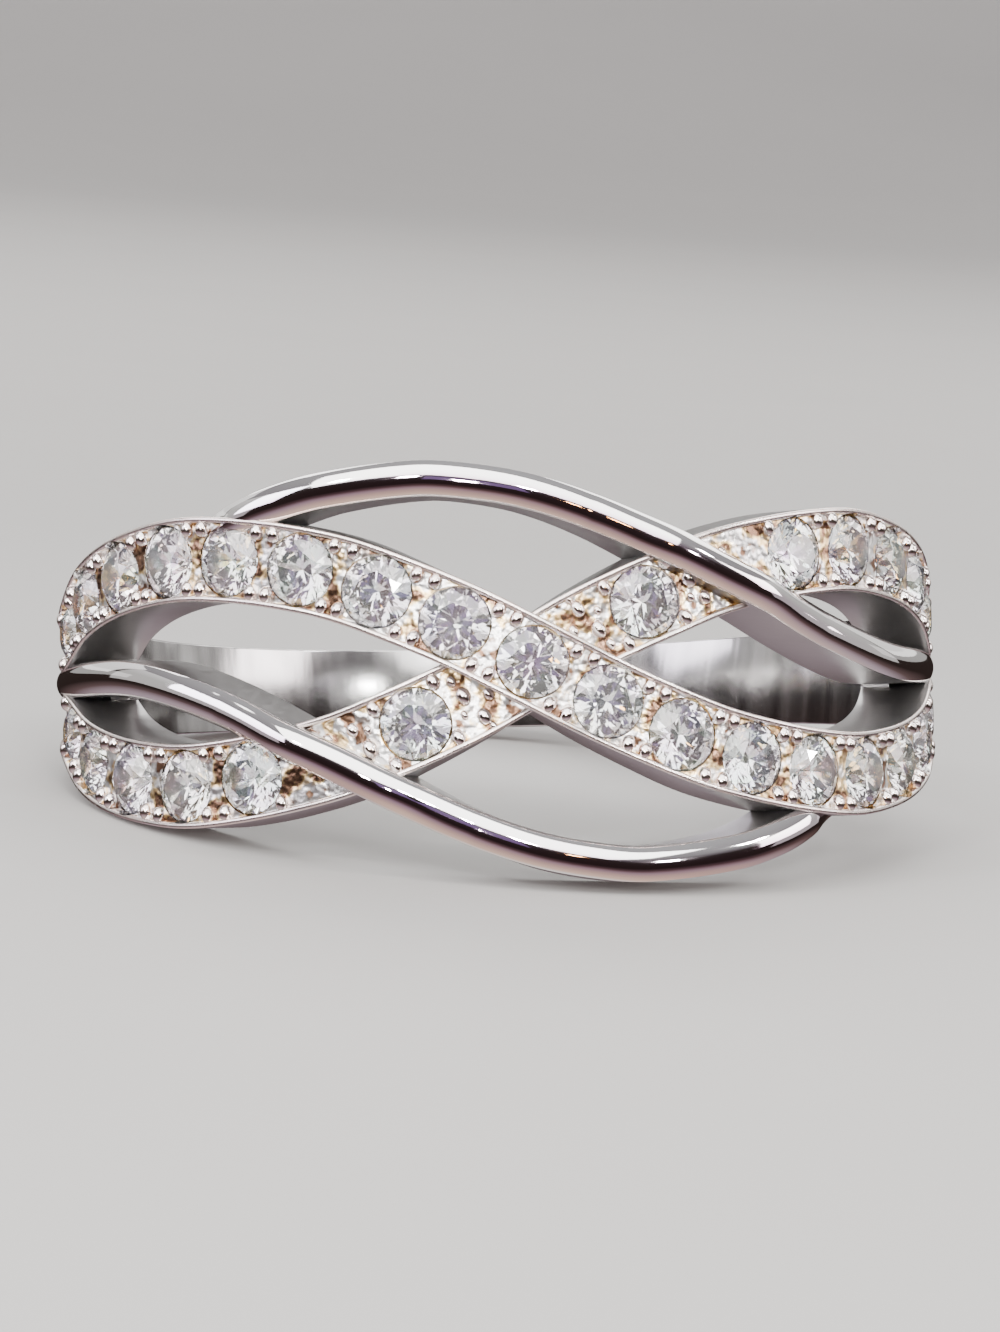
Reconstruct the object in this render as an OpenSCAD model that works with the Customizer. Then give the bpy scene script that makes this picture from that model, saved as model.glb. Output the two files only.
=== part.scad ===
/* [Finger hole] */
// Diameter of the finger hole
finger_d = 17.3; // [15:0.1:21]
// Angle round the finger between two sections of a strand
strand_step = 4; // [3:1:6]

/* [Stone strands] */
// Width of a stone strand, measured across its run
stone_strand_w = 1.86; // [1.7:0.02:2.3]
// Height of the rails of a stone strand above the finger hole
stone_strand_t = 1.65; // [1.4:0.05:2.2]
// Farthest that the middle line of a stone strand wanders from the middle of the ring
stone_strand_reach = 2.49; // [2.2:0.01:3]
// Width of the bright rail along each edge of a stone strand
rail_w = 0.12; // [0.08:0.01:0.18]
// Depth of the stone channel below the rails
channel_depth = 0.16; // [0.1:0.01:0.25]
// How much higher the over strand stands where it crosses the under strand
over_lift = 0.14; // [0.05:0.01:0.3]
// How much lower the under strand lies beneath the over strand
under_drop = 0.3; // [0.1:0.01:0.5]

/* [Plain strands] */
// Width of a plain strand, measured across its run
plain_strand_w = 0.78; // [0.6:0.01:1]
// Height of the dome of a plain strand above the finger hole
plain_strand_t = 1.75; // [1.4:0.05:2.2]
// Farthest that the middle line of the upper plain strand wanders from the middle of the ring
upper_reach = 4; // [3.8:0.01:4.8]
// Farthest that the middle line of the lower plain strand wanders from the middle of the ring
lower_reach = 4.37; // [3.8:0.01:4.8]
// How much higher a plain strand stands where it crosses the under strand
plain_lift = 0.36; // [0.2:0.01:0.6]
// Height of a plain strand's dome above its straight side walls
plain_dome = 0.2; // [0.15:0.01:0.38]

/* [Shank] */
// Width of the shank behind the finger
shank_w = 2; // [1.6:0.05:3]
// Thickness of the shank behind the finger
shank_t = 1.4; // [1.1:0.05:2]
// Thickness of the web that closes the forks between the strands
web_t = 0.7; // [0.4:0.05:1]

/* [Stones] */
// Diameter of a full-size stone at its girdle
stone_d = 1.55; // [1.3:0.01:1.65]
// Space between two stones of the over strand
over_gap = 0.33; // [0.25:0.01:0.5]
// Space between two stones of the under strand
under_gap = 0.4; // [0.25:0.01:0.5]
// Depth of a stone's girdle below the rails
stone_sink = 0.18; // [0.1:0.01:0.22]
// Space between a stone and its seat or its beads
stone_clear = 0.03; // [0.02:0.01:0.05]
// Diameter of a bead that holds a stone
bead_d = 0.34; // [0.26:0.01:0.4]

/* [Hidden] */
bore_r = finger_d / 2;
rail_r = bore_r + stone_strand_t;
stone_r = stone_d / 2;
bead_r = bead_d / 2;

// Size of each stone of the over strand as a share of stone_d, from the middle to one end
OVER_SIZES = [1, 1, 1, 1, 1, 1, 1, 0.97, 0.85];
// The same for one outer row of the under strand, from the front to the side
UNDER_SIZES = [1, 1, 1, 0.95, 0.85];
over_side = len(OVER_SIZES) - 1;
under_side = len(UNDER_SIZES);

// Length of one half of the over strand's row, which sets how far round the finger the strands go
function row_place(sizes, gap, i) =
    i == 0 ? 0 : row_place(sizes, gap, i - 1) + (sizes[i - 1] + sizes[i]) * stone_r + gap;
row_len = row_place(OVER_SIZES, over_gap, over_side) + stone_r;
side_angle = row_len / rail_r * 180 / PI;

// Way of a stone strand from the middle of the front to the shank: place round the finger as a share
// of side_angle, middle line as a share of stone_strand_reach, width as a share of stone_strand_w
// and height as a share of stone_strand_t
STONE_WAY = [
    [-0.09, -0.3, 1, 1],
    [0, 0, 1, 1],
    [0.09, 0.3, 1, 1],
    [0.18, 0.55, 1, 1],
    [0.27, 0.76, 1, 1],
    [0.36, 0.89, 1, 1],
    [0.45, 0.97, 1, 1],
    [0.54, 1, 1, 1],
    [0.63, 0.95, 0.98, 1],
    [0.72, 0.85, 0.96, 1],
    [0.81, 0.69, 0.93, 1],
    [0.9, 0.46, 0.87, 0.99],
    [1, 0.32, 0.76, 0.96],
    [1.1, 0.25, 0.66, 0.9],
    [1.2, 0.2, 0.58, 0.78],
    [1.32, 0.16, 0.5, 0.55],
];

// Way of a plain strand from the rail that it springs from to the shank: place round the finger,
// middle line as a share of its own reach and of stone_strand_reach, which add up, width as a share
// of plain_strand_w and height as a share of plain_strand_t
PLAIN_WAY = [
    [-0.48, 0.3, 0.77, 0.9, 0.76],
    [-0.44, 0.55, 0.44, 0.95, 0.92],
    [-0.38, 0.8, 0.14, 1, 0.97],
    [-0.3, 0.94, 0.02, 1, 0.99],
    [-0.16, 1, 0, 1, 1],
    [-0.08, 0.975, 0, 1, 1],
    [0, 0.915, 0, 1, 1],
    [0.09, 0.8, 0, 1, 1],
    [0.18, 0.65, 0, 1, 1],
    [0.27, 0.485, 0, 1, 1],
    [0.36, 0.34, 0, 1, 1],
    [0.45, 0.205, 0, 1, 1],
    [0.54, 0.1, 0, 1, 1],
    [0.63, 0.03, 0, 1, 0.99],
    [0.72, 0, 0, 1, 0.98],
    [0.9, 0, 0, 0.95, 0.96],
    [1, 0, 0, 0.9, 0.94],
    [1.09, 0, 0, 0.9, 0.86],
    [1.18, 0, 0, 0.9, 0.72],
];

// Rise of a strand near a crossing: distance from the crossing as a share of side_angle, and share
// of the lift or the drop
CROSSING_RISE = [[-0.19, 0], [-0.13, 0.3], [-0.07, 0.9], [0, 1], [0.07, 0.9], [0.13, 0.3], [0.19, 0]];
// Place of the crossing of a plain strand over the under strand, as a share of side_angle
PLAIN_CROSSING = 0.275;

// Place where the forks between the strands close, as a share of side_angle
FORK_PLACE = 0.87;
fork_angle = FORK_PLACE * side_angle;
// Way of the shank from a fork to the back: place between the forks and the back, half width as a
// share of shank_w and thickness as a share of shank_t, above the web's own thickness at the fork
SHANK_WAY = [
    [0, 0.6, 0],
    [0.08, 0.6, 0.25],
    [0.16, 0.62, 0.7],
    [0.24, 0.62, 1],
    [0.45, 0.56, 1],
    [0.7, 0.51, 1],
    [1, 0.5, 1],
    [1.3, 0.51, 1],
];

// Smooth curve through the rows of a table
function row_below(rows, x, i = 0) =
    i + 2 < len(rows) && rows[i + 1][0] <= x ? row_below(rows, x, i + 1) : i;
function slope(rows, a, b, col) = (rows[b][col] - rows[a][col]) / (rows[b][0] - rows[a][0]);
function smooth(rows, x, col) =
    let (
        i = row_below(rows, x),
        p = rows[i],
        q = rows[i + 1],
        span = q[0] - p[0],
        t = max(0, min(1, (x - p[0]) / span)),
        mp = span * slope(rows, max(i - 1, 0), i + 1, col),
        mq = span * slope(rows, i, min(i + 2, len(rows) - 1), col)
    )
    (2 * t ^ 3 - 3 * t ^ 2 + 1) * p[col] + (t ^ 3 - 2 * t ^ 2 + t) * mp
    + (3 * t ^ 2 - 2 * t ^ 3) * q[col] + (t ^ 3 - t ^ 2) * mq;

// Height across the finger of each strand's middle line, by the angle round the finger
function stone_line(angle) =
    sign(angle) * stone_strand_reach * smooth(STONE_WAY, abs(angle) / side_angle, 1);
function plain_line(angle, reach) =
    reach * smooth(PLAIN_WAY, angle / side_angle, 1)
    + stone_strand_reach * smooth(PLAIN_WAY, angle / side_angle, 2);

// Rail height of the stone strands and dome height of the plain ones, above the finger hole
function rise(angle, crossing) = smooth(CROSSING_RISE, angle / side_angle - crossing, 1);
function stone_top(angle, over) =
    stone_strand_t * smooth(STONE_WAY, abs(angle) / side_angle, 3)
    + (over ? over_lift : -under_drop) * rise(angle, 0);
function plain_top(angle) =
    plain_strand_t * smooth(PLAIN_WAY, angle / side_angle, 4) + plain_lift * rise(angle, PLAIN_CROSSING);

// A point by its angle round the finger, its height across the finger and its radius
function around(angle, height, radius) = [radius * sin(angle), -radius * cos(angle), height];
// The same, at a distance aside from a strand's middle line that runs at a slant
function aside(angle, height, slant, off, radius) =
    around(angle - off * sin(slant) / rail_r * 180 / PI, height + off * cos(slant), radius);
probe = 0.5;
probe_arc = 2 * probe * rail_r * PI / 180;
function stone_slant(angle) = atan2(stone_line(angle + probe) - stone_line(angle - probe), probe_arc);
function plain_slant(angle, reach) =
    atan2(plain_line(angle + probe, reach) - plain_line(angle - probe, reach), probe_arc);

// Skin over a row of sections that all have the same number of points
module swept(sections) {
    n = len(sections[0]);
    last = len(sections) - 1;
    sides = [
        for (i = [0:last - 1]) for (j = [0:n - 1])
            each [
                [i * n + j, (i + 1) * n + (j + 1) % n, (i + 1) * n + j],
                [i * n + j, i * n + (j + 1) % n, (i + 1) * n + (j + 1) % n],
            ]
    ];
    caps = [[for (j = [n - 1:-1:0]) j], [for (j = [0:n - 1]) last * n + j]];
    polyhedron(points = [for (s = sections) each s], faces = concat(sides, caps));
}

// How far a strand's body reaches into the finger hole before the hole is bored
bore_margin = 0.3;
inside_r = bore_r - bore_margin;

module stone_strand(over) {
    rail_edge = rail_w / 2;
    hand = over ? -1 : 1;
    end = STONE_WAY[len(STONE_WAY) - 1][0] * side_angle;
    steps = ceil(2 * end / strand_step);
    swept([
        for (k = [0:steps])
            let (
                angle = -end + 2 * end * k / steps,
                half = stone_strand_w / 2 * smooth(STONE_WAY, abs(angle) / side_angle, 2),
                top = bore_r + stone_top(angle, over),
                floor_r = top - channel_depth,
                inner = half - rail_w
            )
                [
                    for (p = [
                        [-half, inside_r],
                        [-half, top - rail_edge],
                        [-half + rail_edge, top],
                        [-inner, top],
                        [-inner, floor_r],
                        [inner, floor_r],
                        [inner, top],
                        [half - rail_edge, top],
                        [half, top - rail_edge],
                        [half, inside_r],
                    ])
                        aside(angle, hand * stone_line(angle), hand * stone_slant(angle), p[0], p[1])
                ]
    ]);
}

dome_points = 4;
module plain_strand(reach) {
    start = PLAIN_WAY[0][0] * side_angle;
    end = PLAIN_WAY[len(PLAIN_WAY) - 1][0] * side_angle;
    steps = ceil((end - start) / strand_step);
    swept([
        for (k = [0:steps])
            let (
                angle = start + (end - start) * k / steps,
                half = plain_strand_w / 2 * smooth(PLAIN_WAY, angle / side_angle, 3),
                shoulder = bore_r + plain_top(angle) - plain_dome
            )
                [
                    for (p = concat(
                        [[-half, inside_r]],
                        [
                            for (j = [0:dome_points])
                                let (a = 180 - 180 * j / dome_points)
                                    [half * cos(a), shoulder + plain_dome * sin(a)]
                        ],
                        [[half, inside_r]]
                    ))
                        aside(angle, plain_line(angle, reach), plain_slant(angle, reach), p[0], p[1])
                ]
    ]);
}

// Height of the shank's straight sides as a share of its thickness
shank_side_share = 0.55;
module shank() {
    steps = ceil((360 - 2 * fork_angle) / (2 * strand_step));
    swept([
        for (k = [0:steps])
            let (
                angle = fork_angle + (360 - 2 * fork_angle) * k / steps,
                place = 1 - abs(angle - 180) / (180 - fork_angle),
                half = shank_w * smooth(SHANK_WAY, place, 1),
                thick = web_t + (shank_t - web_t) * smooth(SHANK_WAY, place, 2),
                side = bore_r + shank_side_share * thick
            )
                [
                    for (p = concat(
                        [[-half, inside_r]],
                        [
                            for (j = [0:dome_points])
                                let (a = 180 - 180 * j / dome_points)
                                    [half * cos(a), side + (1 - shank_side_share) * thick * sin(a)]
                        ],
                        [[half, inside_r]]
                    ))
                        around(angle, p[0], p[1])
                ]
    ]);
}

// Angle round the finger at a distance along a stone strand from its crossing
way_step = 1;
way_end = STONE_WAY[len(STONE_WAY) - 1][0] * side_angle;
function way_piece(angle) =
    norm([way_step * rail_r * PI / 180, stone_line(angle + way_step) - stone_line(angle)]);
WAY_LENGTHS = [
    for (angle = 0, length = 0; angle < way_end; length = length + way_piece(angle), angle = angle + way_step)
        [length, angle]
];
function angle_at(length) = sign(length) * lookup(abs(length), WAY_LENGTHS);
function length_at(angle) = lookup(angle, [for (row = WAY_LENGTHS) [row[1], row[0]]]);

// Stones of each strand: distance along the strand from the crossing, and size as a share of stone_d
OVER_STONES = [
    for (i = [-over_side:over_side]) [sign(i) * row_place(OVER_SIZES, over_gap, abs(i)), OVER_SIZES[abs(i)]]
];
// Places of the lone stone between the two crossings and of the first stone past the plain strand, as
// shares of side_angle
LONE_PLACE = 0.165;
OUTER_PLACE = 0.418;
lone_start = length_at(LONE_PLACE * side_angle);
outer_start = length_at(OUTER_PLACE * side_angle);
UNDER_ROW = concat(
    [[lone_start, 1]],
    [for (i = [0:under_side - 1]) [outer_start + row_place(UNDER_SIZES, under_gap, i), UNDER_SIZES[i]]]
);
UNDER_STONES = concat(
    [for (i = [len(UNDER_ROW) - 1:-1:0]) [-UNDER_ROW[i][0], UNDER_ROW[i][1]]],
    UNDER_ROW
);

// Puts a shape on a stone strand, with its Z axis pointing out from the finger
module on_strand(length, off, over, depth) {
    angle = angle_at(length);
    hand = over ? -1 : 1;
    slant = hand * stone_slant(angle);
    radius = bore_r + stone_top(angle, over) - depth;
    rotate([0, 0, angle - off * sin(slant) / rail_r * 180 / PI])
        translate([0, -radius, hand * stone_line(angle) + off * cos(slant)])
            rotate([90, 0, 0])
                rotate([0, 0, slant])
                    children();
}

// Proportions of a round brilliant, as shares of its diameter
table_share = 0.56;
crown_share = 0.15;
girdle_share = 0.03;
pavilion_share = 0.42;
star_share = 0.55;
lower_share = 0.75;
mains = 8;

// A round brilliant with its girdle's upper edge at height 0: a table, stars, kites and upper halves
// above the girdle, and lower halves and pavilion mains below it
module brilliant(d) {
    r = d / 2;
    step = 360 / mains;
    crown = crown_share * d;
    girdle = girdle_share * d;
    function ring(radius, z, count, turn) =
        [for (i = [0:count - 1]) let (a = turn + i * 360 / count) [radius * cos(a), radius * sin(a), z]];
    table_r = table_share * r;
    star_r = table_r + star_share * (r - table_r) * cos(step / 2);
    star_z = crown * (r - star_r * cos(step / 2)) / (r - table_r);
    lower_r = r * (1 - lower_share);
    lower_z = -girdle - pavilion_share * d * (1 - lower_r / r * cos(step / 2));
    T = 0;
    S = T + mains;
    G = S + mains;
    H = G + 2 * mains;
    L = H + 2 * mains;
    C = L + mains;
    points = concat(
        ring(table_r, crown, mains, 0),
        ring(star_r, star_z, mains, step / 2),
        ring(r, 0, 2 * mains, 0),
        ring(r, -girdle, 2 * mains, 0),
        ring(lower_r, lower_z, mains, step / 2),
        [[0, 0, -girdle - pavilion_share * d]]
    );
    faces = concat(
        [[for (i = [mains - 1:-1:0]) T + i]],
        [
            for (i = [0:mains - 1])
                let (j = (i + 1) % mains, g = 2 * i, g1 = 2 * i + 1, g2 = (2 * i + 2) % (2 * mains))
                    each [
                        [T + i, T + j, S + i],
                        [T + i, S + i, G + g],
                        [T + j, G + g2, S + i],
                        [S + i, G + g1, G + g],
                        [S + i, G + g2, G + g1],
                        [G + g, G + g1, H + g1],
                        [G + g, H + g1, H + g],
                        [G + g1, G + g2, H + g2],
                        [G + g1, H + g2, H + g1],
                        [H + g, H + g1, L + i],
                        [H + g1, H + g2, L + i],
                        [H + g2, L + j, L + i],
                        [L + i, L + j, C],
                    ]
        ]
    );
    polyhedron(points = points, faces = faces);
}

// Room for a stone: its outline widened by the clearance, open above
module seat(d) {
    wide = d / 2 + stone_clear;
    below = girdle_share * d + stone_clear;
    deep = below + pavilion_share * d;
    above = stone_sink + crown_share * d;
    rotate_extrude($fn = 48) polygon([[0, -deep], [wide, -below], [wide, above], [0, above]]);
}

// Depth of a bead's centre below the rails, and how far a bead is sunk into its rail
bead_sink = 0.13;
bead_overlap = 0.15 * bead_r;
// Space between a bead and the room of its stone
bead_clear = 0.015;

// The two beads that hold one end of a stone, one along each rail
module beads(stone, over, toward) {
    reach = stone[1] * stone_r + stone_clear + bead_clear + bead_r;
    half = stone_strand_w / 2 * smooth(STONE_WAY, abs(angle_at(stone[0])) / side_angle, 2);
    off = half - rail_w + bead_overlap - bead_r;
    along = sqrt(reach ^ 2 - off ^ 2);
    for (side = [-1, 1])
        on_strand(stone[0] + toward * along, side * off, over, bead_sink) sphere(d = bead_d, $fn = 24);
}

module band() color("silver") resting() difference() {
    union() {
        stone_strand(true);
        stone_strand(false);
        plain_strand(upper_reach);
        rotate([0, 180, 0]) plain_strand(lower_reach);
        shank();
        for (stone = OVER_STONES) for (toward = [-1, 1]) beads(stone, true, toward);
        for (stone = UNDER_STONES) for (toward = [-1, 1]) beads(stone, false, toward);
    }
    cylinder(r = bore_r, h = 4 * lower_reach, center = true, $fn = 128);
    for (stone = OVER_STONES) on_strand(stone[0], 0, true, stone_sink) seat(stone[1] * stone_d);
    for (stone = UNDER_STONES) on_strand(stone[0], 0, false, stone_sink) seat(stone[1] * stone_d);
}

// Turn of each stone about its own axis from the one before, in degrees, so that no two stars agree
STONE_TURN = 17;
module stone(row, i, over) color("lightcyan") resting()
    on_strand(row[i][0], 0, over, stone_sink) rotate([0, 0, i * STONE_TURN]) brilliant(row[i][1] * stone_d);

// The ring lies on its lower plain strand in front and on the shank's lower edge behind. Places of
// the strand's lowest point and of the spot between the feet that bears the weight, the first as a
// share of side_angle and the second as a share of rail_r in front of the finger's middle
LOWEST_PLACE = 0.16;
WEIGHT_PLACE = 0.225;
function flat(p) = [p[0], p[1]];
front_foot = around(LOWEST_PLACE * side_angle, -lower_reach - plain_strand_w / 2, bore_r);
back_r = bore_r + shank_side_share * shank_t;
to_weight = [0, -WEIGHT_PLACE * rail_r] - flat(front_foot);
run = to_weight / norm(to_weight);
before = flat(front_foot) * run;
back_foot = flat(front_foot) + (sqrt(before ^ 2 + back_r ^ 2 - bore_r ^ 2) - before) * run;
uphill = back_foot / back_r;
grade = (-shank_w / 2 - front_foot[2]) / (back_r - flat(front_foot) * uphill);
lean = atan(grade);
foot_drop = (grade * (flat(front_foot) * uphill) - front_foot[2]) * cos(lean);
front_reach = rail_r * cos(lean) + lower_reach * sin(lean);
back_reach = (bore_r + shank_t) * cos(lean);

module resting()
    translate([0, (front_reach - back_reach) / 2, foot_drop])
        rotate(a = lean, v = [-uphill[1], uphill[0], 0]) children();

function numbered(word, i) = str(word, i < 9 ? "0" : "", i + 1);
OVER_NAMES = [for (i = [0:len(OVER_STONES) - 1]) numbered("over_stone_", i)];
UNDER_NAMES = [for (i = [0:len(UNDER_STONES) - 1]) numbered("under_stone_", i)];

band();
for (i = [0:len(OVER_NAMES) - 1]) stone(OVER_STONES, i, true);
for (i = [0:len(UNDER_NAMES) - 1]) stone(UNDER_STONES, i, false);
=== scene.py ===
"""Polished crossover ring: woven strands, stone settings and shank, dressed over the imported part."""
import math

import bmesh
import bpy
from mathutils import Matrix, Vector


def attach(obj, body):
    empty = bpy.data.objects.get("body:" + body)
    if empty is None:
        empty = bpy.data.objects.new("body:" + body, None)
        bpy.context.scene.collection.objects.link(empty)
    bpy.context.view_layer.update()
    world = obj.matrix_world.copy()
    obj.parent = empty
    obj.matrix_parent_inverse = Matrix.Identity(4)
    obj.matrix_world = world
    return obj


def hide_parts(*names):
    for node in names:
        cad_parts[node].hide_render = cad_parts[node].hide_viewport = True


bl_info = {
    "name": "Crossover Ring",
    "version": (1, 0, 0),
    "blender": (4, 5, 0),
    "location": "View3D > Sidebar > Ring",
    "description": "Models the woven strands, beads, stones and shank of a crossover ring",
    "category": "Add Mesh",
}

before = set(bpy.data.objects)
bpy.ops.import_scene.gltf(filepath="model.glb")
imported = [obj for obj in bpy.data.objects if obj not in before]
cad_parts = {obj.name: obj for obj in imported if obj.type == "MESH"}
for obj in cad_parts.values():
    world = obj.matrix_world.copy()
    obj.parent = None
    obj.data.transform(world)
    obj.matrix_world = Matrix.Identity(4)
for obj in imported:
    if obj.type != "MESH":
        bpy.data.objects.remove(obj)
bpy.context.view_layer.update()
MM = 0.001

# Strand ways, as shares of the named sizes: place round the finger, middle line, width, height
STONE_WAY = [
    (-0.09, -0.3, 1, 1),
    (0, 0, 1, 1),
    (0.09, 0.3, 1, 1),
    (0.18, 0.55, 1, 1),
    (0.27, 0.76, 1, 1),
    (0.36, 0.89, 1, 1),
    (0.45, 0.97, 1, 1),
    (0.54, 1, 1, 1),
    (0.63, 0.95, 0.98, 1),
    (0.72, 0.85, 0.96, 1),
    (0.81, 0.69, 0.93, 1),
    (0.9, 0.46, 0.87, 0.99),
    (1, 0.32, 0.76, 0.96),
    (1.1, 0.25, 0.66, 0.9),
    (1.2, 0.2, 0.58, 0.78),
    (1.32, 0.16, 0.5, 0.55),
]
# Place, middle line as shares of the plain reach and of the stone strand's reach, width, height
PLAIN_WAY = [
    (-0.53, 0.18, 0.86, 0.88, 0.74),
    (-0.48, 0.3, 0.77, 0.9, 0.8),
    (-0.44, 0.55, 0.44, 0.95, 0.92),
    (-0.38, 0.8, 0.14, 1, 0.97),
    (-0.3, 0.94, 0.02, 1, 0.99),
    (-0.16, 1, 0, 1, 1),
    (-0.08, 0.975, 0, 1, 1),
    (0, 0.915, 0, 1, 1),
    (0.09, 0.8, 0, 1, 1),
    (0.18, 0.65, 0, 1, 1),
    (0.27, 0.485, 0, 1, 1),
    (0.36, 0.34, 0, 1, 1),
    (0.45, 0.205, 0, 1, 1),
    (0.54, 0.1, 0, 1, 1),
    (0.63, 0.03, 0, 1, 0.99),
    (0.72, 0, 0, 1, 0.98),
    (0.9, 0, 0, 0.95, 0.96),
    (1, 0, 0, 0.9, 0.94),
    (1.09, 0, 0, 0.9, 0.86),
    (1.18, 0, 0, 0.9, 0.72),
]
# Distance from a crossing and share of the rise there
CROSSING_RISE = [(-0.19, 0), (-0.13, 0.3), (-0.07, 0.9), (0, 1), (0.07, 0.9), (0.13, 0.3), (0.19, 0)]
PLAIN_CROSSING = 0.275
# Place between fork and back, half width and thickness of the shank
SHANK_WAY = [
    (0, 0.6, 0),
    (0.08, 0.6, 0.25),
    (0.16, 0.62, 0.7),
    (0.24, 0.62, 1),
    (0.45, 0.56, 1),
    (0.7, 0.51, 1),
    (1, 0.5, 1),
    (1.3, 0.51, 1),
]
# Stone sizes from the middle to one end, as shares of a full stone
OVER_SIZES = [1, 1, 1, 1, 1, 1, 1, 0.97, 0.85]
UNDER_SIZES = [1, 1, 1, 0.95, 0.85]
# Beads of the pockets beside the lone stones: distance from the stone's middle along the strand and
# place across the strand in millimetres, and size as a share of a bead
POCKET_BEADS = [
    (-1.42, 0.5, 1.05),
    (-1.2, -0.1, 1.1),
    (-1.72, 0.12, 0.8),
    (-1.05, 0.28, 0.55),
    (-1.1, -0.5, 0.7),
    (-1.5, 0.78, 0.6),
    (1.12, 0.1, 1.15),
    (1.35, -0.42, 0.9),
    (1.42, 0.45, 0.95),
    (1.7, 0.02, 0.8),
    (1.02, -0.3, 0.55),
    (2.0, -0.35, 1.0),
    (2.05, 0.35, 0.9),
]
# How far each strand's inside stays back from the shank's
RECESS = {
    "over_strand": 0.003,
    "under_strand": 0.006,
    "upper_plain_strand": 0.009,
    "lower_plain_strand": 0.012,
}
# How far the shank's crown stays below the part's own, so that the dressed ring stays within the part's own
# bounds
CROWN_DROP = 0.045
# Places on the under strand of its lone stones and of the first stones of its outer groups, as
# shares of the side angle
LONE_PLACE = 0.165
OUTER_PLACE = 0.418
# Depth of a bead's middle below the rails, space beside its stone, and its shape along the strand,
# across it and up
BEAD_SINK = 0.13
BEAD_CLEAR = 0.015
BEAD_SHAPE = (0.92, 1.2, 1.08, 1)
# Proportions of a stone below its upper girdle edge, as shares of its diameter
GIRDLE_SHARE = 0.03
PAVILION_SHARE = 0.42
# Angles round the finger between two sections of the swept pieces
STONE_STEP, PLAIN_STEP, SHANK_STEP = 0.6, 0.5, 0.8
# Share of the side angle at which the forks close, and height of the shank's straight sides as a
# share of its thickness
FORK_PLACE = 0.87
SHANK_SIDE_SHARE = 0.55
# Lowest place of the lower plain strand, as a share of the side angle, and place of the weight in
# front of the middle, as a share of the rails' radius
LOWEST_PLACE = 0.16
WEIGHT_PLACE = 0.225
# Fullness of the domes of the plain strands and of the shank
PLAIN_FULLNESS = 0.78
SHANK_FULLNESS = 0.999
# Height below which a face belongs to the inside of the hoop
INSIDE = 0.02
# Angle between two faces above which their edge looks sharp
SHARP = math.radians(40)


def length(name, text, default, low, high):
    return bpy.props.FloatProperty(
        name=name, description=text, default=default, min=low, max=high, unit="LENGTH", precision=5
    )


def tint(name, text, default):
    return bpy.props.FloatVectorProperty(
        name=name, description=text, default=default, min=0, max=1, size=3, subtype="COLOR"
    )


class RingSizes(bpy.types.PropertyGroup):
    finger_d: length("Finger hole", "Diameter of the finger hole", 0.0173, 0.015, 0.021)
    stone_strand_w: length("Stone strand width", "Width across a stone strand", 0.00186, 0.0017, 0.0023)
    stone_strand_t: length("Stone strand height", "Rails above the hole", 0.00165, 0.0014, 0.0022)
    stone_strand_reach: length("Stone strand reach", "Farthest from the middle", 0.00249, 0.0022, 0.003)
    rail_w: length("Rail width", "Width of the bright rail along each edge", 0.00012, 0.00008, 0.00018)
    channel_depth: length("Channel depth", "Channel floor below the rails", 0.00016, 0.0001, 0.00025)
    over_lift: length("Over lift", "Rise of the over strand at the crossing", 0.00014, 0.00005, 0.0003)
    under_drop: length("Under drop", "Drop of the under strand at the crossing", 0.0003, 0.0001, 0.0005)
    plain_strand_w: length("Plain strand width", "Width across a plain strand", 0.00078, 0.0006, 0.001)
    plain_strand_t: length("Plain strand height", "Dome above the hole", 0.00175, 0.0014, 0.0022)
    upper_reach: length("Upper reach", "Farthest from the middle", 0.004, 0.0038, 0.0048)
    lower_reach: length("Lower reach", "Farthest from the middle", 0.00437, 0.0038, 0.0048)
    plain_lift: length("Plain lift", "Rise of a plain strand over the under strand", 0.00036, 0.0002, 0.0006)
    plain_dome: length("Plain dome", "Height of the dome above its side walls", 0.00019, 0.00015, 0.00038)
    shank_w: length("Shank width", "Width of the shank behind the finger", 0.002, 0.0016, 0.003)
    shank_t: length("Shank thickness", "Thickness of the shank behind the finger", 0.0014, 0.0011, 0.002)
    web_t: length("Web thickness", "Thickness of the web that closes the forks", 0.0007, 0.0004, 0.001)
    stone_d: length("Stone diameter", "Diameter of a full stone", 0.00155, 0.0013, 0.00165)
    over_gap: length("Over gap", "Space between two stones of the over strand", 0.00033, 0.00025, 0.0005)
    under_gap: length("Under gap", "Space between two stones of the under strand", 0.0004, 0.00025, 0.0005)
    stone_sink: length("Stone sink", "Depth of a girdle below the rails", 0.00018, 0.0001, 0.00022)
    stone_clear: length("Stone clearance", "Space between a stone and its seat", 0.00003, 0.00002, 0.00005)
    bead_d: length("Bead diameter", "Diameter of a bead", 0.00034, 0.00026, 0.0004)


class RingLook(bpy.types.PropertyGroup):
    metal: tint("Metal", "Colour of the polished white metal", (0.9, 0.885, 0.875))
    bare_metal: tint("Bare metal", "Warm metal that shows deep between the stones", (0.88, 0.64, 0.32))
    # Deep brown painted shade, strewn in patches over the channel floor
    crevice_painted_shade: tint("Crevice", "Painted shade between the beads, deep brown", (0.2, 0.115, 0.075))
    # Plum and copper are painted reflection on the plain strands; the copper also tints the rails and beads
    # at random
    plum_painted_reflection: tint("Plum tone", "Painted reflection on the plain strands below their crest", (0.68, 0.54, 0.64))
    copper_painted_reflection_and_tone: tint("Copper tone", "Painted reflection on the plain strands near their lower edge", (0.86, 0.68, 0.6))
    stone: tint("Stone", "Body colour of the stones", (0.98, 0.95, 1.0))
    floor: tint("Floor", "Colour of the table", (0.33, 0.324, 0.314))


def mm(name):
    """A named size in millimetres, the unit that the ring is modelled in."""
    return getattr(bpy.context.scene.ring_sizes, name) / MM


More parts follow.
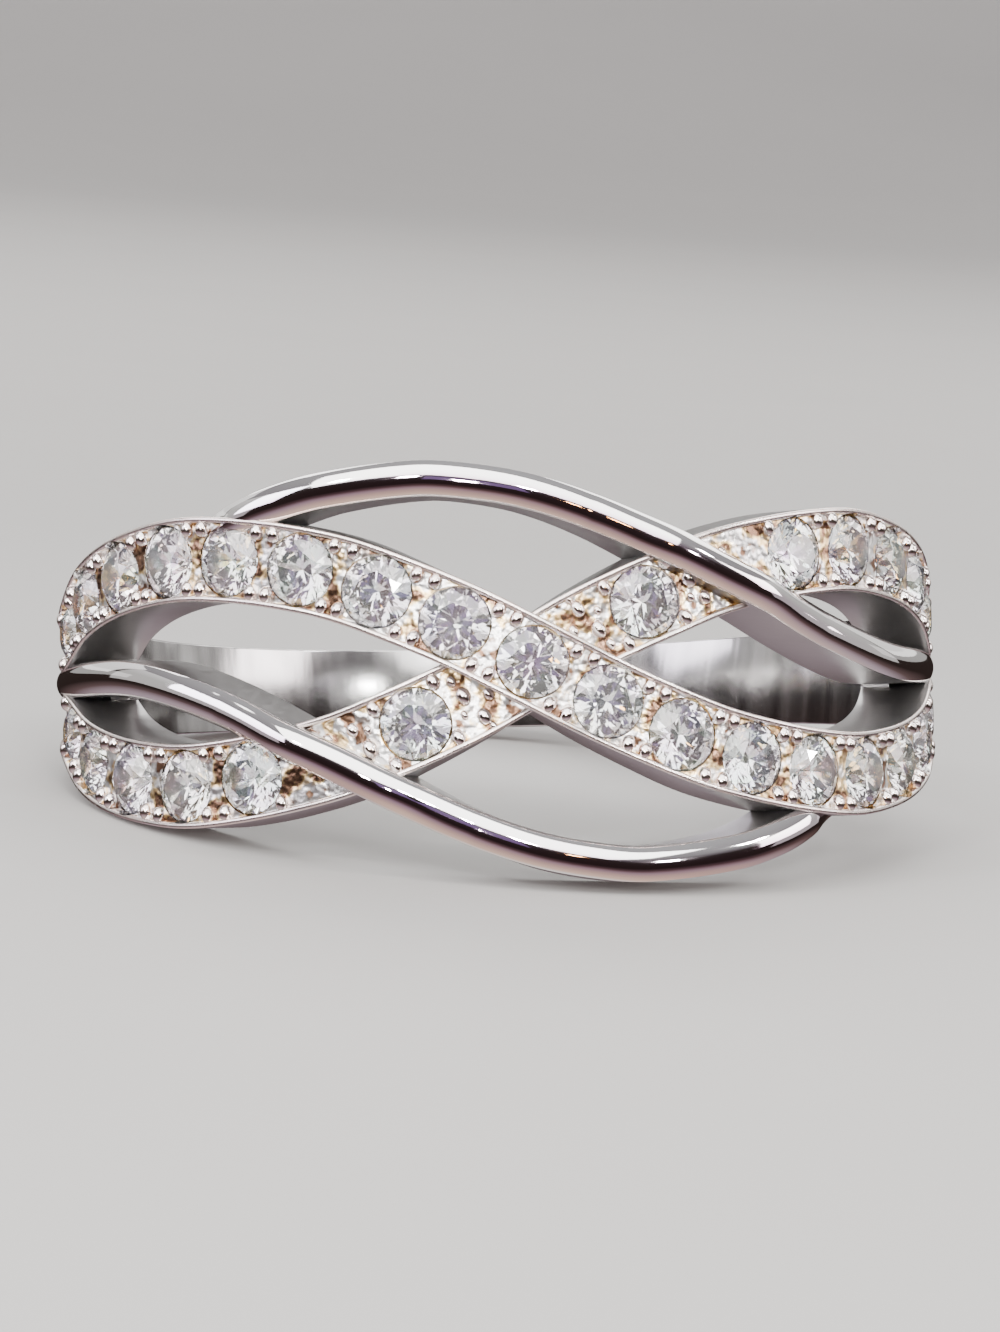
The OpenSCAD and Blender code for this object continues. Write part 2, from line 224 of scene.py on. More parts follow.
def smooth(rows, x, col):
    """Smooth curve through the rows of a table."""
    i = 0
    while i + 2 < len(rows) and rows[i + 1][0] <= x:
        i += 1
    p, q = rows[i], rows[i + 1]
    span = q[0] - p[0]
    t = max(0, min(1, (x - p[0]) / span))

    def slope(a, b):
        return (rows[b][col] - rows[a][col]) / (rows[b][0] - rows[a][0])

    mp = span * slope(max(i - 1, 0), i + 1)
    mq = span * slope(i, min(i + 2, len(rows) - 1))
    return (
        (2 * t**3 - 3 * t**2 + 1) * p[col]
        + (t**3 - 2 * t**2 + t) * mp
        + (3 * t**2 - 2 * t**3) * q[col]
        + (t**3 - t**2) * mq
    )


def row_places(sizes, gap):
    """Distance of each stone's middle from the first one's."""
    places = [0]
    for a, b in zip(sizes, sizes[1:]):
        places.append(places[-1] + (a + b) * mm("stone_d") / 2 + gap)
    return places


def bore_r():
    return mm("finger_d") / 2


def rail_r():
    return bore_r() + mm("stone_strand_t")


def side_angle():
    """How far round the finger the strands go before they fade into the shank, in degrees."""
    row = row_places(OVER_SIZES, mm("over_gap"))[-1] + mm("stone_d") / 2
    return math.degrees(row / rail_r())


def rise(angle, crossing):
    return smooth(CROSSING_RISE, angle / side_angle() - crossing, 1)


class StoneStrand:
    """Way of one stone-set strand."""

    def __init__(self, over):
        self.over, self.hand = over, -1 if over else 1
        self.end = STONE_WAY[-1][0] * side_angle()
        self.start = -self.end

    def line(self, angle):
        way = smooth(STONE_WAY, abs(angle) / side_angle(), 1)
        return self.hand * math.copysign(1, angle) * mm("stone_strand_reach") * way

    def width(self, angle):
        return smooth(STONE_WAY, abs(angle) / side_angle(), 2)

    def top(self, angle):
        lift = mm("over_lift") if self.over else -mm("under_drop")
        return mm("stone_strand_t") * smooth(STONE_WAY, abs(angle) / side_angle(), 3) + lift * rise(angle, 0)

    def full_top(self):
        return mm("stone_strand_t")


class PlainStrand:
    """Way of one plain domed strand: the upper one as named, the lower one turned over."""

    def __init__(self, upper):
        self.hand, self.reach = (1, mm("upper_reach")) if upper else (-1, mm("lower_reach"))
        ends = sorted(self.hand * row[0] * side_angle() for row in (PLAIN_WAY[0], PLAIN_WAY[-1]))
        self.start, self.end = ends

    def share(self, angle, col):
        return smooth(PLAIN_WAY, self.hand * angle / side_angle(), col)

    def line(self, angle):
        own, shared = self.share(angle, 1), self.share(angle, 2)
        return self.hand * (self.reach * own + mm("stone_strand_reach") * shared)

    def width(self, angle):
        return self.share(angle, 3)

    def top(self, angle):
        lift = mm("plain_lift") * rise(self.hand * angle, PLAIN_CROSSING)
        return mm("plain_strand_t") * self.share(angle, 4) + lift

    def full_top(self):
        return mm("plain_strand_t")


class Shank:
    """Way of the shank from one fork round the back to the other."""

    def __init__(self):
        self.fork = FORK_PLACE * side_angle()
        self.start, self.end = self.fork, 360 - self.fork

    def place(self, angle):
        return 1 - abs(angle - 180) / (180 - self.fork)

    def line(self, angle):
        return 0

    def width(self, angle):
        return 2 * smooth(SHANK_WAY, self.place(angle), 1)

    def top(self, angle):
        return mm("web_t") + (mm("shank_t") - mm("web_t")) * smooth(SHANK_WAY, self.place(angle), 2)

    def full_top(self):
        return mm("shank_t")


def slant(way, angle):
    """Slant of a strand's run, in radians."""
    probe = 0.25
    run = 2 * math.radians(probe) * rail_r()
    return math.atan2(way.line(angle + probe) - way.line(angle - probe), run)


def station(way, angle):
    """Puts a section drawn across Y and up Z at a place along the unrolled strand."""
    s = slant(way, angle)
    wide, high = way.width(angle), way.top(angle) / way.full_top()
    return Matrix(
        (
            (math.cos(s), -math.sin(s) * wide, 0, math.radians(angle) * rail_r()),
            (math.sin(s), math.cos(s) * wide, 0, way.line(angle)),
            (0, 0, high, 0),
            (0, 0, 0, 1),
        )
    )


def sweep(bm, way, step, finish):
    """Draws the section that stands in the mesh along the unrolled strand. finish gives a face's
    material from its place on the section and along the strand."""
    count = math.ceil((way.end - way.start) / step)
    places = [station(way, way.start + (way.end - way.start) * k / count) for k in range(count + 1)]
    shares = [(way.start + (way.end - way.start) * k / count) / side_angle() for k in range(count + 1)]
    across, along = (bm.verts.layers.float.new(name) for name in ("across", "along"))
    loop, first = list(bm.edges), list(bm.verts)
    half = max(v.co.y for v in first)
    for v in first:
        v[across], v[along] = v.co.y / half, shares[0]
    bmesh.ops.transform(bm, matrix=places[0], verts=first)
    for here, there, share in zip(places, places[1:], shares[1:]):
        grown = bmesh.ops.extrude_edge_only(bm, edges=loop)["geom"]
        verts = [g for g in grown if isinstance(g, bmesh.types.BMVert)]
        for v in verts:
            v[along] = share
        fresh = set(verts)
        loop = [g for g in grown if isinstance(g, bmesh.types.BMEdge) and set(g.verts) <= fresh]
        bmesh.ops.transform(bm, matrix=there @ here.inverted(), verts=verts)
        back = here.inverted()
        for face in (g for g in grown if isinstance(g, bmesh.types.BMFace)):
            spot = back @ face.calc_center_median()
            face.material_index = finish(abs(spot.y), spot.z, abs(share))
    bmesh.ops.holes_fill(bm, edges=[e for e in bm.edges if e.is_boundary], sides=0)
    bmesh.ops.recalc_face_normals(bm, faces=bm.faces)


def roll_up(bm, recess=0):
    """Rolls the unrolled strand up round the finger hole. recess keeps its inside back by a hair, so
    that no two pieces share one face."""
    for v in bm.verts:
        turn, r = v.co.x / rail_r(), bore_r() + max(v.co.z, recess)
        v.co = Vector((r * math.sin(turn), -r * math.cos(turn), v.co.y))


def round_off(bm, corners, radius, segments, affect="VERTICES"):
    """Rounds off corners of a section, or edges of a mesh."""
    bmesh.ops.bevel(
        bm,
        geom=corners,
        affect=affect,
        offset=radius,
        offset_type="OFFSET",
        segments=segments,
        profile=0.5,
        material=-1,
    )


def outline(bm, corners, rounded, segments):
    """Closed loop through the corners, with the named corners rounded off."""
    verts = [bm.verts.new((0, y, z)) for y, z in corners]
    face = bm.faces.new(verts)
    for radius, names in rounded:
        round_off(bm, [verts[i] for i in names], radius, segments)
    bmesh.ops.delete(bm, geom=list(bm.faces), context="FACES_ONLY")


def resting():
    """The way that the ring lies: on its lower plain strand in front and on the shank behind."""
    # The line of contact runs from the strand's inner edge in front, under the ring's weight, to the
    # shank's lower edge behind
    low = math.radians(LOWEST_PLACE * side_angle())
    depth = -mm("lower_reach") - mm("plain_strand_w") / 2
    front = Vector((bore_r() * math.sin(low), -bore_r() * math.cos(low)))
    back_r = bore_r() + SHANK_SIDE_SHARE * mm("shank_t")
    run = (Vector((0, -WEIGHT_PLACE * rail_r())) - front).normalized()
    before = front.dot(run)
    back = front + (math.sqrt(before**2 + back_r**2 - bore_r() ** 2) - before) * run
    # The ring leans back until both contacts stand at one height
    uphill = back / back_r
    grade = (-mm("shank_w") / 2 - depth) / (back_r - front.dot(uphill))
    lean = math.atan(grade)
    drop = (grade * front.dot(uphill) - depth) * math.cos(lean)
    front_reach = rail_r() * math.cos(lean) + mm("lower_reach") * math.sin(lean)
    shift = (front_reach - (bore_r() + mm("shank_t")) * math.cos(lean)) / 2
    turn = Matrix.Rotation(lean, 4, Vector((-uphill.y, uphill.x, 0)))
    return Matrix.Translation((0, shift, drop)) @ turn


def to_row():
    return Matrix.Scale(MM, 4) @ resting()


class Measure:
    """Distances along a stone strand from its crossing."""

    def __init__(self, way):
        self.rows, run, angle = [(0, 0)], 0, 0
        while angle < way.end - 1:
            step = math.hypot(math.radians(1) * rail_r(), way.line(angle + 1) - way.line(angle + 1e-9))
            run, angle = run + step, angle + 1
            self.rows.append((run, angle))

    def pick(self, x, a, b):
        """Reads column b of the rows where column a is x."""
        for p, q in zip(self.rows, self.rows[1:]):
            if x <= q[a]:
                break
        return p[b] + (q[b] - p[b]) * (x - p[a]) / (q[a] - p[a])

    def angle_at(self, run):
        return math.copysign(self.pick(abs(run), 0, 1), run)

    def run_at(self, angle):
        return self.pick(angle, 1, 0)


def stone_rows(measure, over):
    """Each stone of a strand: distance from the crossing and size share."""
    if over:
        places = row_places(OVER_SIZES, mm("over_gap"))
        side = list(zip(places, OVER_SIZES))
        return [(-p, s) for p, s in side[:0:-1]] + side
    outer = measure.run_at(OUTER_PLACE * side_angle())
    side = [(measure.run_at(LONE_PLACE * side_angle()), 1)]
    side += [(outer + p, s) for p, s in zip(row_places(UNDER_SIZES, mm("under_gap")), UNDER_SIZES)]
    return [(-p, s) for p, s in side[::-1]] + side


def on_strand(way, measure, run, off, depth):
    """Place on a stone strand with Z pointing out from the finger and Y across the strand."""
    angle = measure.angle_at(run)
    s = slant(way, angle)
    turn = math.radians(angle) - off * math.sin(s) / rail_r()
    place = Vector((0, -(bore_r() + way.top(angle) - depth), way.line(angle) + off * math.cos(s)))
    tip = Matrix.Rotation(math.pi / 2, 4, "X") @ Matrix.Rotation(s, 4, "Z")
    return Matrix.Rotation(turn, 4, "Z") @ Matrix.Translation(place) @ tip


def to_object(bm, name, metals):
    """Turns a finished mesh into an object of the ring, with its place in its mesh."""
    mesh = bpy.data.meshes.new(name)
    bm.to_mesh(mesh)
    bm.free()
    mesh.shade_smooth()
    mesh.set_sharp_from_angle(angle=SHARP)
    obj = bpy.data.objects.new(name, mesh)
    bpy.context.scene.collection.objects.link(obj)
    for metal in metals:
        mesh.materials.append(metal)
    return obj


def cut(obj, cutter):
    """Cuts one object out of another and removes the cutter."""
    tool = obj.modifiers.new("Seats", "BOOLEAN")
    tool.operation, tool.solver, tool.object = "DIFFERENCE", "EXACT", cutter
    bpy.context.view_layer.update()
    shaped = obj.evaluated_get(bpy.context.evaluated_depsgraph_get())
    mesh = bpy.data.meshes.new_from_object(shaped)
    obj.modifiers.clear()
    old, obj.data = obj.data, mesh
    bpy.data.meshes.remove(old)
    bpy.data.objects.remove(cutter)
    mesh.name = obj.name
    mesh.shade_smooth()
    mesh.set_sharp_from_angle(angle=SHARP)


class Value:
    """A number socket: arithmetic on it adds Math nodes."""

    def __init__(self, tree, socket):
        self.tree, self.socket = tree, socket

    def math(self, operation, other, swapped=False):
        node = self.tree.nodes.new("ShaderNodeMath")
        node.operation = operation
        for i, value in enumerate((other, self) if swapped else (self, other)):
            if isinstance(value, Value):
                self.tree.links.new(value.socket, node.inputs[i])
            else:
                node.inputs[i].default_value = value
        return Value(self.tree, node.outputs[0])

    def __add__(self, other):
        return self.math("ADD", other)

    def __radd__(self, other):
        return self.math("ADD", other, True)

    def __sub__(self, other):
        return self.math("SUBTRACT", other)

    def __rsub__(self, other):
        return self.math("SUBTRACT", other, True)

    def __mul__(self, other):
        return self.math("MULTIPLY", other)

    def __rmul__(self, other):
        return self.math("MULTIPLY", other, True)


class Nodes:
    """The nodes of a material or of the studio's surroundings."""

    def __init__(self, holder):
        holder.use_nodes = True
        self.tree = holder.node_tree

    def node(self, kind, settings=None, inputs=None):
        """Adds a node: settings first, then the values or links of its sockets."""
        node = self.tree.nodes.new("ShaderNode" + kind)
        for key, value in (settings or {}).items():
            if key == "stops":
                elements = node.color_ramp.elements
                elements[0].position, elements[1].position = value[0][0], value[-1][0]
                for place, _ in value[1:-1]:
                    elements.new(place)
                for element, (_, colour) in zip(elements, value):
                    element.color = (*colour, 1)
            else:
                setattr(node, key, value)
        for key, value in (inputs or {}).items():
            self.put(node.inputs[key], value)
        return node

    def put(self, socket, value):
        if isinstance(value, Value):
            value = value.socket
        if isinstance(value, bpy.types.NodeSocket):
            self.tree.links.new(value, socket)
        else:
            socket.default_value = value

    def value(self, socket):
        return Value(self.tree, socket)

    def ramp(self, factor, *stops):
        """A colour that runs through the stops, each a place and a colour."""
        return self.node("ValToRGB", {"stops": stops}, {0: factor}).outputs[0]

    def blend(self, mask, one, other):
        """A colour between two others."""
        one, other = ((*c, 1) if isinstance(c, tuple) else c for c in (one, other))
        return self.node("Mix", {"data_type": "RGBA"}, {0: mask, 6: one, 7: other}).outputs[2]


class Finish(Nodes):
    """The nodes of one material."""

    def __init__(self, name):
        self.material = bpy.data.materials.new(name)
        super().__init__(self.material)
        self.surface = self.tree.nodes["Principled BSDF"]

    def set(self, **inputs):
        for key, value in inputs.items():
            self.put(self.surface.inputs[key.replace("_", " ")], value)

    def place(self, scale=(1, 1, 1)):
        where = self.node("TexCoord").outputs["Object"]
        return self.node("Mapping", {}, {"Vector": where, "Scale": scale}).outputs[0]

    def noise(self, where, scale, detail=2.0, roughness=0.5):
        inputs = {"Vector": where, "Scale": scale, "Detail": detail, "Roughness": roughness}
        return self.value(self.node("TexNoise", {}, inputs).outputs[0])

    def bump(self, height, depth, strength=1.0):
        node = self.node("Bump", {}, {"Height": height, "Distance": depth, "Strength": strength})
        self.set(Normal=node.outputs[0])


def darker(colour, share):
    return tuple(c * share for c in colour)


def polished_metal():
    """Mirror-polished white metal with faint handling marks."""
    look = bpy.context.scene.ring_look
    f = Finish("Polished metal")
    clouds = f.noise(f.place(), 420, 3)
    f.set(Base_Color=f.blend(clouds, look.metal[:], darker(look.metal, 0.93)), Metallic=1.0)
    f.set(Roughness=0.03 + 0.05 * clouds)
    f.bump(f.noise(f.place((1, 1, 6)), 5200, 1), 0.0000003)
    return f.material


def painted_reflection_polish():
    """Polish of the plain strands, with plum and copper painted reflection below their crest."""
    look = bpy.context.scene.ring_look
    f = Finish("Polish with painted reflection")
    clean, plum, copper = look.metal[:], look.plum_painted_reflection[:], look.copper_painted_reflection_and_tone[:]
    across, along = (
        f.value(f.node("Attribute", {"attribute_name": name}).outputs["Fac"]) for name in ("across", "along")
    )
    clouds = f.noise(f.place(), 260, 2)
    place = 0.5 * across + 0.5 + 0.16 * (clouds - 0.5)
    # Plum and copper painted reflection across the lower half of the dome, standing in for the dark room
    # that it mirrors
    stops = [(0, clean), (0.05, copper), (0.16, copper), (0.34, plum), (0.52, plum), (0.66, clean)]
    painted_reflection = f.ramp(place, *stops)
    front = f.ramp(0.5 * along + 0.5, *PAINTED_REFLECTION_PART)
    f.set(Base_Color=f.blend(front, clean, painted_reflection), Metallic=1.0, Roughness=0.03 + 0.05 * clouds)
    f.bump(f.noise(f.place((1, 1, 6)), 5200, 1), 0.0000003)
    return f.material


def inside_metal_painted_shade():
    """Inside of the hoop, with fine marks from one edge to the other, and its colour darkened to between
    half and three quarters of the polish as painted shade.
    """
    look = bpy.context.scene.ring_look
    f = Finish("Inside of the hoop")
    marks = f.noise(f.place((1, 1, 0.06)), 1900, 2)
    # Colour at 0.52 to 0.74 of the polish: painted shade inside the hoop
    f.set(Base_Color=f.ramp(marks, (0.36, darker(look.metal, 0.52)), (0.66, darker(look.metal, 0.74))))
    f.set(Metallic=1.0, Roughness=0.1 + 0.15 * marks)
    f.bump(marks, 0.000006)
    return f.material


def burnished(name, softness):
    """Metal worked by the setting tool: bright, but softer than the polish."""
    look = bpy.context.scene.ring_look
    f = Finish(name)
    clouds = f.noise(f.place(), 2400, 2)
    f.set(Base_Color=f.blend(clouds, look.metal[:], darker(look.copper_painted_reflection_and_tone, 0.95)), Metallic=1.0)
    f.set(Roughness=softness + 0.14 * clouds)
    f.bump(clouds, 0.00001)
    return f.material


def rail_metal():
    """Rails along the edges of the channel."""
    return burnished("Burnished rails", 0.2)


def bead_metal():
    """Beads, rounded and shined by the beading tool."""
    return burnished("Burnished beads", 0.09)


def satin_metal_painted_shade():
    """Side walls, left satin by the polishing wheel, their colour darkened to about half the polish's as
    painted shade.
    """
    look = bpy.context.scene.ring_look
    f = Finish("Satin metal")
    lines = f.noise(f.place((1, 1, 9)), 2600, 2)
    clouds = f.noise(f.place(), 700, 2)
    # Colour at 0.5 to 0.62 of the polish: painted shade on the side walls
    f.set(Base_Color=f.blend(clouds, darker(look.metal, 0.62), darker(look.metal, 0.5)), Metallic=1.0)
    f.set(Roughness=0.26 + 0.1 * lines)
    f.bump(lines, 0.0000015)
    return f.material


def cast_metal():
    """Rough cast floor of the channel, dull, and warm where the plating is thin, with deep brown patches of
    painted shade.
    """
    look = bpy.context.scene.ring_look
    f = Finish("Cast channel floor")
    where = f.place()
    patches = f.noise(where, 1700, 3)
    clean, warm, deep = look.metal[:], look.bare_metal[:], look.crevice_painted_shade[:]
    # Deep brown patches are painted shade; the amber is metal where the plating is thin
    f.set(Base_Color=f.ramp(patches, (0.4, deep), (0.46, warm), (0.52, clean), (0.58, clean), (0.64, deep)))
    f.set(Metallic=1.0)
    f.set(Roughness=0.2 + 0.2 * patches)
    f.bump(f.noise(where, 4600, 1), 0.00006, 0.9)
    return f.material


def seat_metal():
    """Bright-cut seat walls below the stones, warm like the crevices between them."""
    look = bpy.context.scene.ring_look
    f = Finish("Bright-cut seat")
    patches = f.noise(f.place(), 900, 2)
    f.set(Base_Color=f.ramp(patches, (0.45, look.metal[:]), (0.62, look.bare_metal[:])), Metallic=1.0)
    f.set(Roughness=0.1 + 0.1 * patches)
    return f.material


def stone_glass():
    """Clear white stone with a breath of lavender, and small pale rainbow patches painted into its colour as
    painted sparkle.
    """
    look = bpy.context.scene.ring_look
    f = Finish("White stone")
    cells = f.node("TexVoronoi", {"feature": "F1"}, {"Vector": f.place(), "Scale": 2600.0})
    # Brightened rainbow patches blended into the colour: painted sparkle of spectral colours
    painted_fire = f.node("HueSaturation", {}, {"Saturation": 0.5, "Value": 1.5, "Color": cells.outputs["Color"]})
    f.set(Base_Color=f.blend(0.36, look.stone[:], painted_fire.outputs[0]), Roughness=0.0, IOR=2.1)
    f.set(Transmission_Weight=0.96)
    return f.material


def pale_table():
    """Plain pale table, painted lighter towards its raised back as painted light where the lamps reach it
    less.
    """
    look = bpy.context.scene.ring_look
    f = Finish("Pale table")
    where = f.place()
    grain = f.noise(where, 60, 4)
    back = f.value(f.node("SeparateXYZ", {}, {"Vector": where}).outputs["Y"])
    near, middle, far = look.floor[:], darker(look.floor, 1.7), darker(look.floor, 2.5)
    # Colour rising towards the back: painted light on the raised back of the table
    shade = f.ramp(2 * back, (0.1, near), (0.45, middle), (0.9, far))
    f.set(Base_Color=f.blend(0.05 * grain, shade, (0, 0, 0)), Roughness=0.55 + 0.1 * grain)
    return f.material


FINISHES = {}


def material(maker):
    """The finish that a function makes, made once."""
    if maker not in FINISHES:
        FINISHES[maker] = maker()
    return FINISHES[maker]


def materials(*makers):
    return [material(maker) for maker in makers]


def finished(obj):
    """Lays a piece of white metal down at rest and lets it ride with the ring."""
    obj.data.transform(to_row())
    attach(obj, "root")


class RING_OT_stone_strands(bpy.types.Operator):
    """Model the two stone-set strands with their rails, channels and seats"""

    bl_idname = "ring.stone_strands"
    bl_label = "Stone Strands"

    def execute(self, context):
        for over, name in ((True, "over_strand"), (False, "under_strand")):
            way = StoneStrand(over)
            half, top, floor = mm("stone_strand_w") / 2, mm("stone_strand_t"), mm("channel_depth")
            inner = half - mm("rail_w")
            slope = 0.3 * mm("rail_w")
            bm = bmesh.new()
            side = [(half, 0), (half, top), (inner, top), (inner - slope, top - floor)]
            corners = [(-y, z) for y, z in side] + side[::-1]
            feet, rims, lips = (0, 7), (1, 6), (2, 5)
            outline(bm, corners, [(0.03, feet), (0.055, rims), (0.05, lips)], 4)

            measure = Measure(way)
            run, size = stone_rows(measure, over)[-1]
            last = measure.angle_at(run + size * mm("stone_d") / 2 + mm("bead_d")) / side_angle()

            def finish(across, up, share):
                if up < INSIDE:
                    return 4
                if across < inner and 0.6 * floor < top - up < 1.4 * floor:
                    return 2 if share < last else 0
                return 1 if across > half - 0.01 and up < top - 0.1 else 0

            sweep(bm, way, STONE_STEP, finish)
            roll_up(bm, RECESS[name])
            metals = materials(rail_metal, satin_metal_painted_shade, cast_metal, seat_metal, inside_metal_painted_shade)
            strand = to_object(bm, name, metals)
            for other in (True, False):
                cut(strand, self.seats(StoneStrand(other), other, metals))
            finished(strand)
            if over:
                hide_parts("band")
        return {"FINISHED"}

    def seats(self, way, over, metals):
        """The room of every stone of a strand: a pointed cone with a straight wall above the girdle."""
        measure = Measure(way)
        bm = bmesh.new()
        for run, share in stone_rows(measure, over):
            d = share * mm("stone_d")
            wide = d / 2 + mm("stone_clear")
            below, above = GIRDLE_SHARE * d + mm("stone_clear"), 0.25 * d
            point = -below - PAVILION_SHARE * d
            profile = [(0, point), (wide, -below), (wide, 0.02), (wide + 0.05, above), (0, above)]
            verts = [bm.verts.new((x, 0, z)) for x, z in profile]
            edges = [bm.edges.new(pair) for pair in zip(verts, verts[1:])]
            bmesh.ops.spin(
                bm,
                geom=verts + edges,
                cent=(0, 0, 0),
                axis=(0, 0, 1),
                angle=2 * math.pi,
                steps=48,
                use_merge=True,
            )
            fresh = [v for v in bm.verts if not v.tag]
            bmesh.ops.remove_doubles(bm, verts=fresh, dist=0.0005)
            fresh = [v for v in bm.verts if not v.tag]
            bmesh.ops.transform(bm, matrix=on_strand(way, measure, run, 0, mm("stone_sink")), verts=fresh)
            for v in fresh:
                v.tag = True
        bmesh.ops.recalc_face_normals(bm, faces=bm.faces)
        for face in bm.faces:
            face.material_index = 3
        return to_object(bm, "seat_rooms", metals)


class RING_OT_plain_strands(bpy.types.Operator):
    """Model the two plain domed strands"""

    bl_idname = "ring.plain_strands"
    bl_label = "Plain Strands"

    def execute(self, context):
        for upper, name in ((True, "upper_plain_strand"), (False, "lower_plain_strand")):
            way = PlainStrand(upper)
            half, top = mm("plain_strand_w") / 2, mm("plain_strand_t")
            bm = bmesh.new()
            domed_section(bm, half, top, mm("plain_dome"), PLAIN_FULLNESS)

            def finish(across, up, share):
                if up < INSIDE:
                    return 2
                return 1 if across > half - 0.012 and up < top - mm("plain_dome") - 0.02 else 0

            sweep(bm, way, PLAIN_STEP, finish)
            roll_up(bm, RECESS[name])
            finished(to_object(bm, name, materials(painted_reflection_polish, satin_metal_painted_shade, inside_metal_painted_shade)))
        return {"FINISHED"}


def domed_section(bm, half, top, dome, fullness):
    """Closed section with straight sides and a domed top. fullness is how upright the dome's edges
    stand: at 1 they run straight into the sides."""
    arc = bmesh.ops.create_circle(bm, cap_ends=False, radius=1, segments=64)["verts"]
    lift = math.sqrt(1 - fullness**2)
    bmesh.ops.bisect_plane(
        bm, geom=list(bm.verts) + list(bm.edges), plane_co=(0, lift, 0), plane_no=(0, 1, 0), clear_inner=True
    )
    scale = Matrix.Diagonal((half / fullness, dome / (1 - lift), 1, 1)) @ Matrix.Translation((0, -lift, 0))
    upright = Matrix(((0, 0, 1, 0), (1, 0, 0, 0), (0, 1, 0, top - dome), (0, 0, 0, 1)))
    bmesh.ops.transform(bm, matrix=upright @ scale, verts=list(bm.verts))
    ends = [v for v in bm.verts if len(v.link_edges) == 1]
    feet = bmesh.ops.extrude_vert_indiv(bm, verts=ends)["verts"]
    for foot in feet:
        foot.co.z = 0
    bm.edges.new(feet)
    bmesh.ops.contextual_create(bm, geom=list(bm.edges))
    round_off(bm, ends, 0.02, 3)
    round_off(bm, [v for v in bm.verts if abs(v.co.z) < 1e-6], 0.04, 3)
    bmesh.ops.delete(bm, geom=list(bm.faces), context="FACES_ONLY")


class RING_OT_shank(bpy.types.Operator):
    """Model the shank behind the finger and the webs that close the forks"""

    bl_idname = "ring.shank"
    bl_label = "Shank"

    def execute(self, context):
        bm = bmesh.new()
        top = mm("shank_t") - CROWN_DROP
        domed_section(bm, mm("shank_w") / 2, top, (1 - SHANK_SIDE_SHARE) * mm("shank_t"), SHANK_FULLNESS)
        sweep(bm, Shank(), SHANK_STEP, lambda across, up, share: 1 if up < INSIDE else 0)
        roll_up(bm)
        finished(to_object(bm, "shank", materials(polished_metal, inside_metal_painted_shade)))
        return {"FINISHED"}


class RING_OT_beads(bpy.types.Operator):
    """Raise the small round beads that hold the stones"""

    bl_idname = "ring.beads"
    bl_label = "Beads"

    def execute(self, context):
        bm = bmesh.new()
        r = mm("bead_d") / 2
        for over in (True, False):
            way = StoneStrand(over)
            measure = Measure(way)

            def bead(run, off, size=1.0):
                spot = on_strand(way, measure, run, off, BEAD_SINK) @ Matrix.Diagonal(BEAD_SHAPE)
                bmesh.ops.create_uvsphere(bm, u_segments=16, v_segments=10, radius=size * r, matrix=spot)

            for run, share in stone_rows(measure, over):
                reach = share * mm("stone_d") / 2 + mm("stone_clear") + BEAD_CLEAR + r
                half = mm("stone_strand_w") / 2 * way.width(measure.angle_at(run))
                off = half - mm("rail_w") + 0.15 * r - r
                along = math.sqrt(reach**2 - off**2)
                for toward in (-1, 1):
                    for side in (-1, 1):
                        bead(run + toward * along, side * off)
            if not over:
                lone = measure.run_at(LONE_PLACE * side_angle())
                for from_lone, off, size in POCKET_BEADS:
                    for side in (-1, 1):
                        bead(side * (lone + from_lone), side * off, size)
        finished(to_object(bm, "beads", materials(bead_metal)))
        return {"FINISHED"}


class RING_OT_stones(bpy.types.Operator):
    """Give the cut stones their clear finish"""

    bl_idname = "ring.stones"
    bl_label = "Stones"

    def execute(self, context):
        for name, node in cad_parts.items():
            if "stone" in name:
                for slot in node.material_slots:
                    slot.material = material(stone_glass)
                node.data.shade_flat()
        return {"FINISHED"}


# How strongly the painted reflection shows on the plain strands, from one side of the ring to the other
PAINTED_REFLECTION_PART = [(0.2, (0.1,) * 3), (0.36, (1.0,) * 3), (0.64, (1.0,) * 3), (0.8, (0.1,) * 3)]
# Colours of the room from straight down to straight up
ROOM = [
    (0, (1.1, 1.05, 1.03)),
    (0.03, (0.95, 0.8, 0.74)),
    (0.09, (0.72, 0.58, 0.58)),
    (0.19, (0.48, 0.38, 0.44)),
    (0.29, (0.13, 0.085, 0.085)),
    (0.38, (0.03, 0.02, 0.018)),
    (0.64, (0.035, 0.026, 0.024)),
    (0.76, (0.32, 0.3, 0.32)),
    (1, (0.55, 0.54, 0.56)),
]
WHITE = (1, 0.985, 0.97)
# Places of the small lamps that make the stones sparkle, in metres
SPOTS = [
    (-0.09, -0.17, 0.07),
    (0.02, -0.2, 0.1),
    (0.12, -0.15, 0.06),
    (-0.16, -0.11, 0.12),
    (0.16, -0.07, 0.13),
    (-0.04, -0.19, 0.04),
]
# Lights: name, places in metres, width and height in metres, power in watts and colour
LIGHTS = [
    ("Front softbox", [(-0.03, -0.0975, 0.139)], (0.3, 0.17), 0.88, WHITE),
    ("Back softbox", [(0.02, 0.13, 0.15)], (0.3, 0.12), 0.45, WHITE),
    ("Left softbox", [(-0.17, -0.03, 0.06)], (0.09, 0.08), 0.16, (0.93, 0.88, 1)),
    ("Right softbox", [(0.17, -0.03, 0.06)], (0.09, 0.08), 0.16, (1, 0.92, 0.93)),
    ("Side panel", [(-0.22, 0.03, 0.05), (0.22, 0.03, 0.05)], (0.2, 0.16), 0.06, WHITE),
    ("Low side card", [(-0.17, 0.17, 0.024), (0.17, 0.17, 0.024)], (0.2, 0.045), 0.012, WHITE),
    ("Violet card", [(-0.035, -0.2, 0.05)], (0.09, 0.05), 0.006, (0.55, 0.4, 0.85)),
    ("Rear panel", [(-0.15, 0.22, 0.1), (0.16, 0.22, 0.1)], (0.2, 0.14), 0.1, WHITE),
    ("Ceiling spot", SPOTS, (0.018, 0.018), 0.15, WHITE),
    ("Warm glint", [(0.05, -0.19, 0.055)], (0.012, 0.006), 0.012, (1, 0.55, 0.18)),
]


